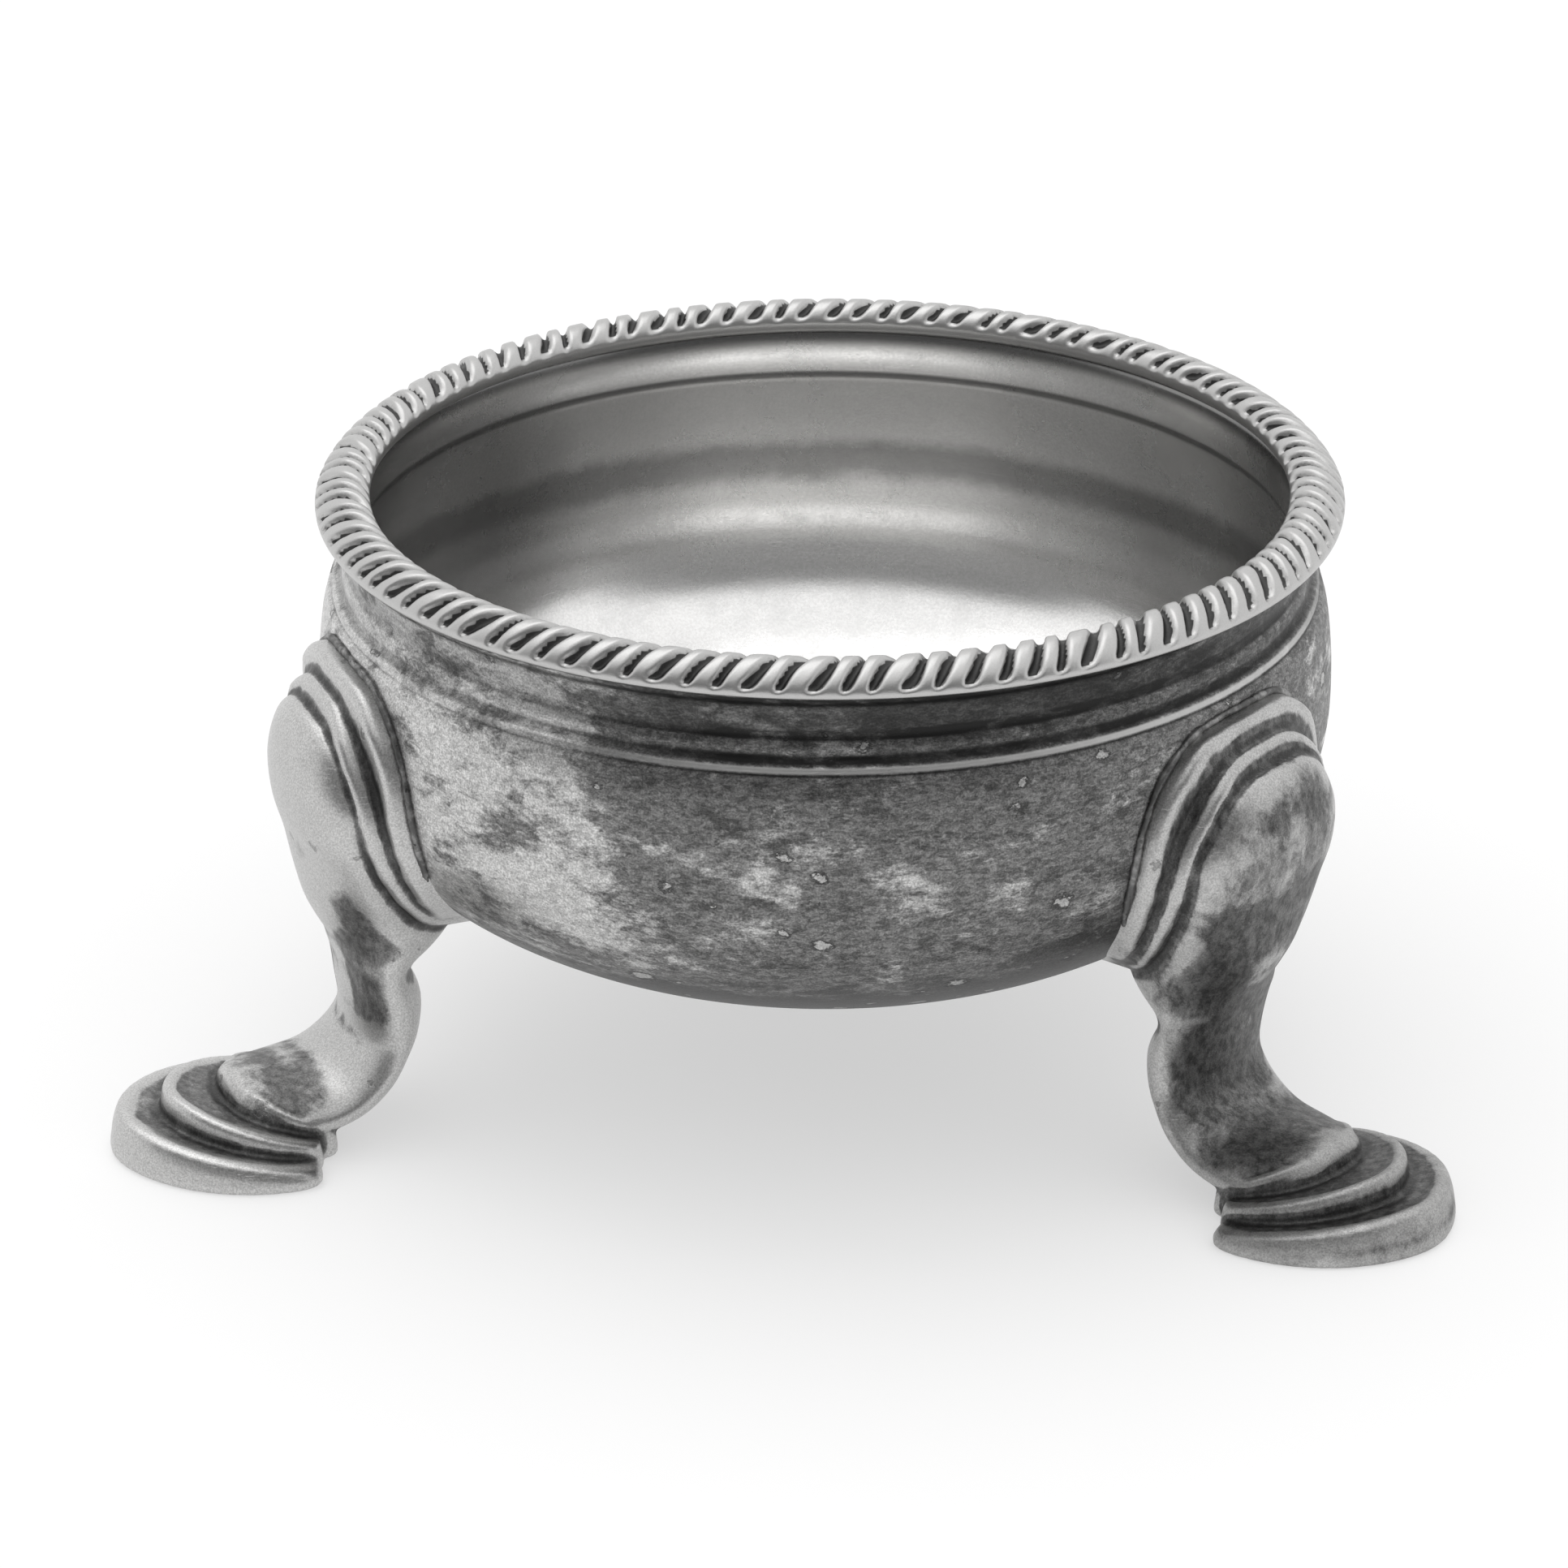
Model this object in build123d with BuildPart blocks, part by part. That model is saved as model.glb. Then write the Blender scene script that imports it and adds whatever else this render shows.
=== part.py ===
# Silver cauldron salt cellar: a raised bowl with a gadrooned border on three cast hoof legs.
# Millimetres, +Z up. The origin is on the bowl's axis, on the table that the hooves stand on.
import os
from math import cos, radians, sin

from build123d import *

# ---------------------------------------------------------------------------
# Driving dimensions
# ---------------------------------------------------------------------------

# Where the border sits
border_seat_height = 38.0      # flat underside of the border, above the table

# Bowl, raised from one sheet: radii are of its outer face, drops are below the border seat
sheet_thickness = 0.9
lip_radius = 31.5              # turned-out lip that carries the border
lip_depth = 0.7                # upright edge of that lip
neck_radius = 30.5             # narrowest place, between lip and shoulder
neck_drop = 2.9
shoulder_radius = 31.35
shoulder_drop = 5.0
belly_radius = 32.3            # widest place
belly_drop = 12.0
bowl_depth = 29.3
belly_flank_reach = 11.1       # pull of the curve: how far the upright side runs down
belly_floor_reach = 20.0       # and how far the flat underside runs out
shoulder_line_width = 0.5      # fine line cut round the bowl just under the shoulder
shoulder_line_depth = 0.22

# Gadrooned border, soldered on the lip
border_outer_radius = 32.5
border_inner_radius = 29.0
border_edge_height = 0.5       # plain upright band outside the lobes
border_crest_radius = 30.75
border_height = 1.9
border_inner_edge_height = 0.9
border_foot_inset = 0.3        # how far the inner foot stands back from the inner edge
gadroon_count = 107
groove_radius = 0.42           # half width of the round-nosed tool mark between two lobes
groove_depth = 0.30
groove_bend_radius = 2.0       # the groove bends over the crest on this radius
groove_lean = 31.0             # degrees between a groove and the radius of the bowl
groove_outer_angle = 48.0      # degrees past the crest at which a groove ends outside
groove_inner_angle = 80.0      # degrees past the crest at which it runs out inside

# Solder
solder_gap = 0.05              # room for the film of solder between a leg and the bowl
border_solder_leg = 0.45       # fillet of solder in the corner under the border
leg_solder_width = 0.8         # solder that shows around the outer plate of a leg
leg_solder_thickness = 0.3
leg_solder_end_drop = 20.0     # how far down the seam runs beside the plate

# Legs: drops are below the border seat, as on the bowl that they carry
leg_angles = {"leg_back": 90.0, "leg_front_left": 210.0, "leg_front_right": 330.0}

# The two stepped plates against the bowl
outer_plate_drop = 6.4
outer_plate_half_width = 9.1
outer_plate_proud = 1.4        # how far its face stands out from the belly
inner_plate_drop = 7.8
inner_plate_half_width = 8.1
inner_plate_proud = 2.9
plate_head_drop = 10.5         # the faces stand upright from here
plate_wide_drop = 14.6         # down to here, where both plates are widest
plate_haunch_drop = 20.7       # their sides draw in below this
plate_tail_drop = 23.4
plate_tail_half_width = 4.8
plate_tail_inset = 0.7         # how far the faces stand inside the belly's radius at the tail

# Hoof: three sloping steps, each one running back over the one below it
leg_reach = 16.5               # how far the toe stands out beyond the belly
sole_length = 12.4
sole_half_width = 9.1
sole_toe_height = 3.1          # upper edge of the toe
sole_slope = 11.0
sole_taper = 14.0
hoof_front_inset = 3.6         # each step stands back by this at the toe
hoof_side_inset = 1.3          # and by this at the sides
step_rise = 1.1                # how much higher than the sole its toe is
step_overhang = 0.5            # how far it stands out behind the sole
step_slope = 19.0
coronet_rise = 0.9
coronet_overhang = 1.5
coronet_slope = 25.0
hoof_corner_radius = 1.6
hoof_straight = 1.6            # straight part of the hoof's side, from its back edge
hoof_edge_fillet = 0.45

# The domed instep over the coronet
instep_height = 2.7            # height of its middle
instep_setback = 5.5           # from the coronet's toe back to its middle, and so its half length
instep_half_width = 5.9
instep_half_height = 2.5
instep_tilt = 6.0              # degrees that it leans to the toe

# Ovals of the ankle: height as a share of the ankle's, standoff from the belly's radius,
# half depth, half width, and tilt in degrees
arch_oval = (0.34, 0.0, 1.9, 5.8, 20.0)
pastern_oval = (0.47, -1.4, 1.75, 5.4, 8.0)
fetlock_oval = (0.58, -2.0, 2.05, 5.3, 0.0)
heel_oval = (0.74, -1.85, 2.25, 5.3, 0.0)

# Ovals of the shank: drop, standoff, half depth, half width
notch_oval = (25.3, -0.85, 2.35, 5.7)
calf_oval = (22.0, 0.2, 2.6, 6.3)
shin_oval = (18.0, 1.1, 2.5, 7.2)
knee_oval = (14.0, 1.4, 3.0, 7.3)
crown_oval = (10.6, 1.4, 2.2, 5.5)
tip_oval = (9.0, 1.8, 0.9, 2.6)

# ---------------------------------------------------------------------------
# Bowl
# ---------------------------------------------------------------------------


def belly_curve(inset, grow=0.0):
    """The belly from the axis up to the shoulder, drawn in from the outer face by inset."""
    radius = belly_radius - inset + grow
    widest = border_seat_height - belly_drop
    floor = border_seat_height - bowl_depth + inset - grow
    shoulder = (shoulder_radius - inset + grow, border_seat_height - shoulder_drop)
    Bezier(
        (0, floor),
        (belly_floor_reach, floor),
        (radius, widest - belly_flank_reach + inset / 2),
        (radius, widest),
    )
    Bezier((radius, widest), (radius, (widest + shoulder[1]) / 2), shoulder)
    return shoulder


def neck_curve(start, inset, top):
    """The hollow of the neck, from the shoulder up to the given top point."""
    ThreePointArc(start, (neck_radius - inset, border_seat_height - neck_drop), top)
    return top


with BuildPart() as bowl:
    with BuildSketch(Plane.XZ):
        with BuildLine():
            outer_shoulder = belly_curve(0)
            outer_lip = neck_curve(outer_shoulder, 0, (lip_radius, border_seat_height - lip_depth))
            inner_shoulder = belly_curve(sheet_thickness)
            inner_lip = neck_curve(
                inner_shoulder, sheet_thickness, (lip_radius - 2 * sheet_thickness, border_seat_height)
            )
            Polyline(outer_lip, (lip_radius, border_seat_height), inner_lip)
            Line(
                (0, border_seat_height - bowl_depth),
                (0, border_seat_height - bowl_depth + sheet_thickness),
            )
        make_face()
    revolve(axis=Axis.Z)
    # The fine line under the shoulder
    line_height = border_seat_height - shoulder_drop - shoulder_line_width
    with BuildSketch(Plane.XZ):
        with Locations((shoulder_radius + shoulder_line_depth, line_height)):
            Circle(shoulder_line_width / 2)
    revolve(axis=Axis.Z, mode=Mode.SUBTRACT)

bowl.part.label = "bowl"

# Profiles drawn on this side start their turned faces behind the leg, clear of its middle
back_profile = Plane(origin=(0, 0, 0), x_dir=(-1, 0, 0), z_dir=(0, 1, 0))

# The bowl's outer form, filled, with room for solder around it: the legs are cut to it
with BuildPart() as bowl_form:
    with BuildSketch(back_profile):
        with BuildLine():
            form_shoulder = belly_curve(0, solder_gap)
            form_top = (form_shoulder[0], border_seat_height)
            Polyline(form_shoulder, form_top, (0, border_seat_height))
            Line((0, border_seat_height), (0, border_seat_height - bowl_depth - solder_gap))
        make_face()
    revolve(axis=Axis.Z)

# ---------------------------------------------------------------------------
# Gadrooned border
# ---------------------------------------------------------------------------

border_base = border_seat_height
border_outer_edge = (border_outer_radius, border_base + border_edge_height)
border_crest = (border_crest_radius, border_base + border_height)
border_inner_edge = (border_inner_radius, border_base + border_inner_edge_height)

# One groove: a round bar bent over the crest, leaning across the border, with a round outer end
groove_centre_height = border_base + border_height - groove_depth + groove_radius - groove_bend_radius
groove_plane = Plane(
    origin=(border_crest_radius, 0, groove_centre_height),
    x_dir=(cos(radians(groove_lean)), -sin(radians(groove_lean)), 0),
    z_dir=(-sin(radians(groove_lean)), -cos(radians(groove_lean)), 0),
)
with BuildPart() as groove:
    with BuildLine(groove_plane) as groove_path:
        CenterArc(
            (0, 0),
            groove_bend_radius,
            90 - groove_outer_angle,
            groove_outer_angle + groove_inner_angle,
        )
    with BuildSketch(Plane(groove_path.line @ 0, z_dir=groove_path.line % 0)):
        Circle(groove_radius)
    sweep(path=groove_path.line)
    with Locations(groove_path.line @ 0):
        Sphere(groove_radius)

with BuildPart() as border:
    with BuildSketch(Plane.XZ):
        with BuildLine():
            Line((border_outer_radius, border_base), border_outer_edge)
            Bezier(
                border_outer_edge,
                (border_outer_radius, border_base + border_height),
                border_crest,
            )
            Bezier(
                border_crest,
                (border_inner_radius, border_base + border_height),
                border_inner_edge,
            )
            Polyline(
                border_inner_edge,
                (border_inner_radius + border_foot_inset, border_base),
                (border_outer_radius, border_base),
            )
        make_face()
    revolve(axis=Axis.Z)
    with PolarLocations(0, gadroon_count):
        add(groove.part, mode=Mode.SUBTRACT)

border.part.label = "gadrooned_border"

border_solder_radius = lip_radius + solder_gap
with BuildPart() as border_solder:
    with BuildSketch(Plane.XZ):
        with BuildLine():
            Polyline(
                (border_solder_radius, border_base),
                (border_solder_radius + border_solder_leg, border_base),
                (border_solder_radius, border_base - border_solder_leg),
                (border_solder_radius, border_base),
            )
        make_face()
    revolve(axis=Axis.Z)

border_solder.part.label = "border_solder_seam"

# ---------------------------------------------------------------------------
# Legs, built once along +X
# ---------------------------------------------------------------------------


plate_wide_height = border_seat_height - plate_wide_drop
plate_haunch_height = border_seat_height - plate_haunch_drop
plate_tail_height = border_seat_height - plate_tail_drop
plate_core_radius = belly_radius + notch_oval[1] - notch_oval[2]


def plate_outline(drop, half_width, grow=0.0):
    """A shield seen from outside: a round head over a tail that narrows to the shank."""
    head = plate_wide_drop - drop + grow
    width = half_width + grow
    tail = (plate_tail_half_width + grow, plate_tail_height)
    EllipticalCenterArc((0, plate_wide_height), width, head, 0, arc_size=180)
    Bezier((width, plate_wide_height), (width, plate_haunch_height), tail)
    Line(tail, (-tail[0], tail[1]))
    Bezier((-width, plate_wide_height), (-width, plate_haunch_height), (-tail[0], tail[1]))


def plate(drop, half_width, proud):
    """One plate: its outline carried through a shell that follows the belly and then the shank."""
    face_radius = belly_radius + proud
    face_tail = (belly_radius - plate_tail_inset, plate_tail_height)
    with BuildPart() as shell:
        with BuildSketch(back_profile):
            with BuildLine():
                Bezier(
                    face_tail,
                    (face_radius, plate_wide_height),
                    (face_radius, border_seat_height - plate_head_drop),
                    (belly_radius, border_seat_height),
                )
                Polyline(
                    (belly_radius, border_seat_height),
                    (neck_radius - sheet_thickness, border_seat_height),
                    (plate_core_radius, plate_tail_height),
                    face_tail,
                )
            make_face()
        revolve(axis=Axis.Z)
    with BuildPart() as shield:
        with BuildSketch(Plane.YZ.offset(plate_core_radius)):
            with BuildLine():
                plate_outline(drop, half_width)
            make_face()
        extrude(amount=belly_radius)
        add(shell.part, mode=Mode.INTERSECT)
    return shield.part


def hoof_step(front, back, half_width, toe_height, slope, taper=0.0):
    """One step of the hoof: from above a half oval with a straight back, its top sloping to the heel."""
    widest = back + hoof_straight
    with BuildPart() as slab:
        with BuildSketch():
            with BuildLine():
                EllipticalCenterArc((widest, 0), front - widest, half_width, -90, arc_size=180)
                Polyline(
                    (widest, half_width), (back, half_width), (back, -half_width), (widest, -half_width)
                )
            make_face()
            fillet(vertices().group_by(Axis.X)[0], hoof_corner_radius)
        extrude(amount=toe_height + hoof_edge_fillet, taper=taper)
        split(
            bisect_by=Plane(
                origin=(front, 0, toe_height),
                z_dir=(-sin(radians(slope)), 0, cos(radians(slope))),
            ),
            keep=Keep.BOTTOM,
        )
        fillet(slab.faces().sort_by(Axis.Z)[-1].edges(), hoof_edge_fillet)
    return slab.part


sole_front = belly_radius + leg_reach
sole_back = sole_front - sole_length
step_front = sole_front - hoof_front_inset
step_back = sole_back - step_overhang
step_half_width = sole_half_width - hoof_side_inset
step_toe_height = sole_toe_height + step_rise
coronet_front = step_front - hoof_front_inset
coronet_back = step_back - coronet_overhang
coronet_half_width = step_half_width - hoof_side_inset
coronet_toe_height = step_toe_height + coronet_rise
ankle_height = border_seat_height - notch_oval[0]

# Every oval as height, distance from the axis, half depth, half width, tilt
leg_ovals = []
for share, standoff, half_depth, half_width, tilt in (
    arch_oval,
    pastern_oval,
    fetlock_oval,
    heel_oval,
):
    leg_ovals.append((share * ankle_height, belly_radius + standoff, half_depth, half_width, tilt))
for drop, standoff, half_depth, half_width in (
    notch_oval,
    calf_oval,
    shin_oval,
    knee_oval,
    crown_oval,
    tip_oval,
):
    leg_ovals.append((border_seat_height - drop, belly_radius + standoff, half_depth, half_width, 0.0))


def oval_loft(ovals, ruled=False):
    """A skin through tilted ovals, each set across the leg's middle plane."""
    with BuildPart() as skin:
        for height, distance, half_depth, half_width, tilt in ovals:
            oval_plane = Plane(
                origin=(distance, 0, height),
                x_dir=(cos(radians(tilt)), 0, sin(radians(tilt))),
                z_dir=(-sin(radians(tilt)), 0, cos(radians(tilt))),
            )
            with BuildSketch(oval_plane):
                Ellipse(half_depth, half_width)
        loft(ruled=ruled)
    return skin.part


with BuildPart() as instep:
    Sphere(instep_half_height)
    scale(by=(instep_setback / instep_half_height, instep_half_width / instep_half_height, 1))

with BuildPart() as leg:
    add(plate(outer_plate_drop, outer_plate_half_width, outer_plate_proud))
    add(plate(inner_plate_drop, inner_plate_half_width, inner_plate_proud))
    add(oval_loft(leg_ovals[1:]))
    add(oval_loft(leg_ovals[:2], ruled=True))
    with Locations(Location((coronet_front - instep_setback, 0, instep_height), (0, instep_tilt, 0))):
        add(instep.part)
    add(
        hoof_step(
            coronet_front, coronet_back, coronet_half_width, coronet_toe_height, coronet_slope
        )
    )
    add(hoof_step(step_front, step_back, step_half_width, step_toe_height, step_slope))
    add(hoof_step(sole_front, sole_back, sole_half_width, sole_toe_height, sole_slope, sole_taper))
    add(bowl_form.part, mode=Mode.SUBTRACT)

# The seam of solder that shows on the belly around the outer plate, open at the bottom
solder_end_height = border_seat_height - leg_solder_end_drop
with BuildPart() as leg_solder:
    with BuildSketch(Plane.YZ.offset(plate_core_radius)):
        with BuildLine():
            plate_outline(outer_plate_drop, outer_plate_half_width, leg_solder_width)
        make_face()
        with BuildLine():
            plate_outline(outer_plate_drop, outer_plate_half_width, solder_gap)
        make_face(mode=Mode.SUBTRACT)
        with Locations((0, solder_end_height)):
            Rectangle(
                2 * (outer_plate_half_width + leg_solder_width),
                solder_end_height,
                align=(Align.CENTER, Align.MAX),
                mode=Mode.SUBTRACT,
            )
    extrude(amount=belly_radius)
    with BuildSketch(back_profile) as solder_film:
        with BuildLine():
            inner_film = belly_curve(0, solder_gap)
            outer_film = belly_curve(0, solder_gap + leg_solder_thickness)
            Line(inner_film, outer_film)
            Line(
                (0, border_seat_height - bowl_depth - solder_gap),
                (0, border_seat_height - bowl_depth - solder_gap - leg_solder_thickness),
            )
        make_face()
    revolve(axis=Axis.Z, mode=Mode.INTERSECT)

# ---------------------------------------------------------------------------
# Placing and writing
# ---------------------------------------------------------------------------

os.makedirs("parts", exist_ok=True)
for piece in (bowl, border, border_solder):
    export_step(piece.part, f"parts/{piece.part.label}.step")

for leg_name, leg_angle in leg_angles.items():
    for form, node in ((leg, leg_name), (leg_solder, f"{leg_name}_solder")):
        with BuildPart() as placed:
            with Locations(Rotation(0, 0, leg_angle)):
                add(form.part)
        placed.part.label = node
        export_step(placed.part, f"parts/{node}.step")
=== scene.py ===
# %% [markdown]
# # A silver salt cellar, dressed in Blender
# The solids of this salt are already packed: a bowl, a gadrooned border, three cast legs and the
# solder between them. This lesson gives each piece its fine shape and its old silver surface.
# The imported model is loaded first, because every piece has to stay inside it.

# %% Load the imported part
import math

import bmesh
import bpy
import numpy as np
from mathutils import Matrix, Vector


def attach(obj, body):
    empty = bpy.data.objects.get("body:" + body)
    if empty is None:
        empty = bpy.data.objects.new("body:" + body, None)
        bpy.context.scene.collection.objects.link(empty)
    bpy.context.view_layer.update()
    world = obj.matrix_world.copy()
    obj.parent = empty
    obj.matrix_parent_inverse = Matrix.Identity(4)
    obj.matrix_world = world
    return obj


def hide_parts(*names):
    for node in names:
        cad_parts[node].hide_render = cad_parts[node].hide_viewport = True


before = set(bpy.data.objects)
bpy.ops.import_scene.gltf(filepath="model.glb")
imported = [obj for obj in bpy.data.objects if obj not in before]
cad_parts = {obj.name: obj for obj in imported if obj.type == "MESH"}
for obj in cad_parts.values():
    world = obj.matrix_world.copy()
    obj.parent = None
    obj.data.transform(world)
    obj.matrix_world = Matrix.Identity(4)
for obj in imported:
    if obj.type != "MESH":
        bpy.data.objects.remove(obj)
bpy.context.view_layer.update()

MM = 0.001
print("nodes:", sorted(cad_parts))

# %% [markdown]
# ## The camera
# The salt was photographed with a long lens from a little above and to the right of its middle.
# A camera can be aimed with a Track To constraint, but a lens position found from the ellipse of
# the border is exact, so it is written as one matrix: turn, pitch down, and a hair of roll.

# %% Camera
border_seat = 38.0
camera_turn = math.radians(8.5)
camera_pitch = math.radians(24.58)
camera_roll = math.radians(-0.14)
border_seen_at = Vector((2.889, 18.37, -390.0)) * MM

aim = (
    Matrix.Rotation(camera_turn, 4, "Z")
    @ Matrix.Rotation(math.pi / 2 - camera_pitch, 4, "X")
    @ Matrix.Rotation(camera_roll, 4, "Z")
)
camera_data = bpy.data.cameras.new("salt_camera")
camera_data.lens = 141.54
camera_data.sensor_width = 36.0
camera = bpy.data.objects.new("salt_camera", camera_data)
bpy.context.scene.collection.objects.link(camera)
camera.matrix_world = Matrix.Translation(
    Vector((0, 0, border_seat * MM)) - aim.to_3x3() @ border_seen_at
) @ aim
bpy.context.scene.camera = camera
bpy.context.scene.view_settings.view_transform = "Standard"
print("camera at", [round(value, 4) for value in camera.matrix_world.translation])

# %% [markdown]
# ## Formulas that become nodes
# Rules such as "turn this outline round an axis" and "tarnish lies in the hollows" are node trees.
# They could be put together by hand in the editor, but their formulas are easier to read as text.
# So a node's output is wrapped as a Wire, and every + or * between wires adds one Math node.

# %% Wires


class Wire:
    """A node's output that can stand in a formula."""

    def __init__(self, socket):
        self.socket, self.tree = socket, socket.id_data

    def __add__(self, other):
        return sums("ADD", self, other)

    def __sub__(self, other):
        return sums("SUBTRACT", self, other)

    def __rsub__(self, other):
        return sums("SUBTRACT", other, self)

    def __mul__(self, other):
        return sums("MULTIPLY", self, other)

    def __truediv__(self, other):
        return sums("DIVIDE", self, other)

    def __rtruediv__(self, other):
        return sums("DIVIDE", other, self)

    def __abs__(self):
        return sums("ABSOLUTE", self)

    __radd__, __rmul__ = __add__, __mul__


def wires(outputs):
    """The outputs of a node by their names."""
    return {socket.name: Wire(socket) for socket in outputs}


def feed(socket, value):
    """Links a wire to an input, or writes a plain value into it."""
    if isinstance(value, Wire):
        value.tree.links.new(value.socket, socket)
    else:
        socket.default_value = value


def add_node(tree, kind, inputs=None, **settings):
    """Adds a node, sets its properties, and feeds its inputs by name or number."""
    node = tree.nodes.new(kind)
    for name, value in settings.items():
        setattr(node, name, value)
    for key, value in (inputs or {}).items():
        feed(node.inputs[key], value)
    return node


def from_node(tree, kind, inputs=None, output=0, **settings):
    """Adds a node in the same way and returns one of its outputs as a wire."""
    return Wire(add_node(tree, kind, inputs, **settings).outputs[output])


def sums(operation, *values, clamp=False):
    """One Math node, in the tree of the first wire among its values."""
    tree = next(value.tree for value in values if isinstance(value, Wire))
    inputs = dict(enumerate(values))
    return from_node(tree, "ShaderNodeMath", inputs, operation=operation, use_clamp=clamp)


def split(vector):
    """The three parts of a vector."""
    node = add_node(vector.tree, "ShaderNodeSeparateXYZ", {0: vector})
    return [Wire(part) for part in node.outputs]


def combined(x, y, z):
    return from_node(x.tree, "ShaderNodeCombineXYZ", {0: x, 1: y, 2: z})


def ramp(value, low, high, start=0.0, stop=1.0):
    """A smooth step from start to stop while value goes from low to high."""
    inputs = {"Value": value, "From Min": low, "From Max": high, "To Min": start, "To Max": stop}
    return from_node(value.tree, "ShaderNodeMapRange", inputs, interpolation_type="SMOOTHSTEP")


# %% [markdown]
# ## From a line to a plain mesh
# A Geometry Nodes tree works on an object through a modifier. The helpers here start a tree, make
# the line that it grows from, run it, and keep only the plain mesh that comes out, so that the
# finished piece no longer depends on the tree.

# %% Helpers for pieces
same_place = 2e-6


def start_tree(name, sizes):
    """An empty tree with a geometry input and one named input for each size."""
    tree = bpy.data.node_groups.new(name, "GeometryNodeTree")
    for size, kind in {"Geometry": "Geometry", **sizes}.items():
        tree.interface.new_socket(size, in_out="INPUT", socket_type=f"NodeSocket{kind}")
    tree.interface.new_socket("Geometry", in_out="OUTPUT", socket_type="NodeSocketGeometry")
    given = wires(tree.nodes.new("NodeGroupInput").outputs)
    return tree, given, tree.nodes.new("NodeGroupOutput").inputs[0]


def in_scene(name, data):
    """A new object for a mesh, curve, camera or lamp, linked to the scene."""
    thing = bpy.data.objects.new(name, data)
    bpy.context.scene.collection.objects.link(thing)
    return thing


def mesh_of(thing):
    """The mesh that an object has with its modifiers; the object itself is removed."""
    evaluated = thing.evaluated_get(bpy.context.evaluated_depsgraph_get())
    mesh = bpy.data.meshes.new_from_object(evaluated)
    bpy.data.objects.remove(thing, do_unlink=True)
    return mesh


def grow(start, tree, name, values):
    """Runs a tree on an object and returns the result as an object with a plain mesh."""
    modifier = start.modifiers.new(name, "NODES")
    modifier.node_group = tree
    for socket in tree.interface.items_tree:
        if socket.in_out == "INPUT" and socket.name in values:
            modifier[socket.identifier] = values[socket.name]
    mesh = mesh_of(start)
    mesh.name = name
    piece = in_scene(name, mesh)
    print(name, "has", len(mesh.polygons), "faces")
    face_out(piece)
    return piece


def face_out(piece):
    """Merges doubles and points all faces outwards."""
    shape = bmesh.new()
    shape.from_mesh(piece.data)
    bmesh.ops.remove_doubles(shape, verts=shape.verts, dist=same_place)
    bmesh.ops.recalc_face_normals(shape, faces=shape.faces)
    open_edges = sum(1 for edge in shape.edges if not edge.is_manifold)
    shape.to_mesh(piece.data)
    shape.free()
    piece.data.shade_smooth()
    print(piece.name, "open edges:", open_edges)


def line_object(name, points, closed=False):
    """A curve of straight runs through points given as (radius, height) or (x, y, z), in mm."""
    curve = bpy.data.curves.new(name, "CURVE")
    curve.dimensions = "3D"
    spline = curve.splines.new("POLY")
    spline.points.add(len(points) - 1)
    for point, place in zip(spline.points, points):
        x, y, z = (place[0], 0.0, place[1]) if len(place) == 2 else place
        point.co = (x * MM, y * MM, z * MM, 1.0)
    spline.use_cyclic_u = closed
    return in_scene(name, curve)


def rounded(points, steps=6):
    """A smooth line through the given points, for outlines that were drawn with few of them."""
    points = np.array(points, float)
    ends = np.vstack([2 * points[0] - points[1], points, 2 * points[-1] - points[-2]])
    line = []
    for before, start, stop, after in zip(ends, ends[1:], ends[2:], ends[3:]):
        for t in np.arange(steps) / steps:
            bend = (2 * before - 5 * start + 4 * stop - after) * t**2
            twist = (3 * start - before - 3 * stop + after) * t**3
            line.append(0.5 * (2 * start + (stop - before) * t + bend + twist))
    line.append(points[-1])
    return np.array(line)


def shares(outline):
    """How far along an outline each of its points lies, from 0 to 1, and the outline's length."""
    steps = np.linalg.norm(np.diff(outline, axis=0), axis=1)
    return np.concatenate([[0], np.cumsum(steps)]) / steps.sum(), steps.sum()


# %% [markdown]
# ## The lathe tree
# The bowl was raised from a sheet and trued on a stake, so its shape is an outline turned round
# one axis. The Screw modifier could do it. The tree here does the same with a grid: one side of
# the grid is the angle, the other samples the outline. A share of the outline, "Inside from",
# says where the material of the inside takes over.

# %% Lathe tree


def outline_grid(tree, given):
    """A grid with one side round the axis and one along the outline: its mesh, both shares, and
    the place and the direction of the outline there."""
    corners = {"Size X": 1.0, "Size Y": 1.0}
    corners.update({"Vertices X": given["Steps round"], "Vertices Y": given["Steps along"]})
    grid = from_node(tree, "GeometryNodeMeshGrid", corners, "Mesh")
    x, y, _ = split(from_node(tree, "GeometryNodeInputPosition"))
    keep = add_node(tree, "GeometryNodeCaptureAttribute", {"Geometry": grid})
    for number, (name, share) in enumerate({"around": x + 0.5, "along": y + 0.5}.items()):
        keep.capture_items.new("FLOAT", name)
        feed(keep.inputs[number + 1], share)
    mesh, around, along = [Wire(socket) for socket in keep.outputs[:3]]
    inputs = {"Curves": given["Geometry"], "Factor": along}
    settings = {"mode": "FACTOR", "use_all_curves": True}
    sample = wires(add_node(tree, "GeometryNodeSampleCurve", inputs, **settings).outputs)
    return mesh, around, along, split(sample["Position"]), split(sample["Tangent"])


def placed(mesh, position):
    """Moves the grid's points and joins the edges that meet."""
    moved = from_node(
        mesh.tree, "GeometryNodeSetPosition", {"Geometry": mesh, "Position": position}
    )
    inputs = {"Geometry": moved, "Distance": same_place}
    return from_node(mesh.tree, "GeometryNodeMergeByDistance", inputs)


def real_with(geometry, material):
    """Realizes a geometry and gives it a material."""
    real = from_node(geometry.tree, "GeometryNodeRealizeInstances", {"Geometry": geometry})
    inputs = {"Geometry": real, "Material": material}
    return from_node(geometry.tree, "GeometryNodeSetMaterial", inputs)


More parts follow.
